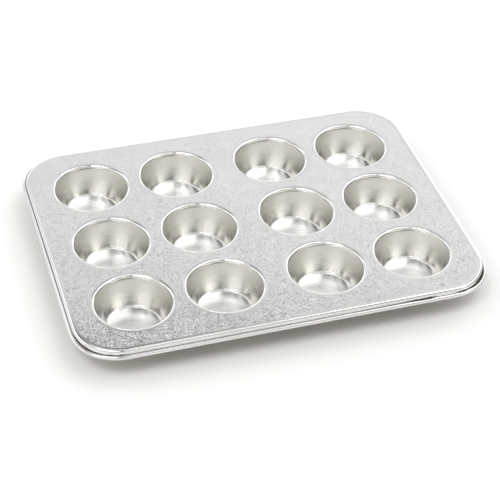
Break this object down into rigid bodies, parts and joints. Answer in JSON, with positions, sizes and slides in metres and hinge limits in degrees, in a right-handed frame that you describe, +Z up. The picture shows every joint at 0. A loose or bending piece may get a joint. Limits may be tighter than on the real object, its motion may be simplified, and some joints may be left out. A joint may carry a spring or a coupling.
{
  "type": "mini muffin pan",
  "caption": "Rectangular tinplate baking pan: tapered round cups locked under a flat deck with rounded corners, its rim rolled round a wire.",
  "frame": {"origin": "on the table, under the middle of the pan", "axes": "+X to the right along the rows of cups, +Y to the back, +Z up out of the cups"},
  "size_m": [0.2654, 0.2004, 0.0196],
  "materials": {
    "deck_tinplate": "satin tinplate with a fine grain",
    "cup_tinplate": "bright drawn tinplate",
    "rim_wire": "dull drawn wire"
  },
  "bodies": {
    "root": {"deck": "deck_tinplate", "rim_wire": "rim_wire", "cup_r1c1": "cup_tinplate", "cup_r1c2": "cup_tinplate", "cup_r1c3": "cup_tinplate", "cup_r1c4": "cup_tinplate", "cup_r2c1": "cup_tinplate", "cup_r2c2": "cup_tinplate", "cup_r2c3": "cup_tinplate", "cup_r2c4": "cup_tinplate", "cup_r3c1": "cup_tinplate", "cup_r3c2": "cup_tinplate", "cup_r3c3": "cup_tinplate", "cup_r3c4": "cup_tinplate"}
  },
  "joints": []
}
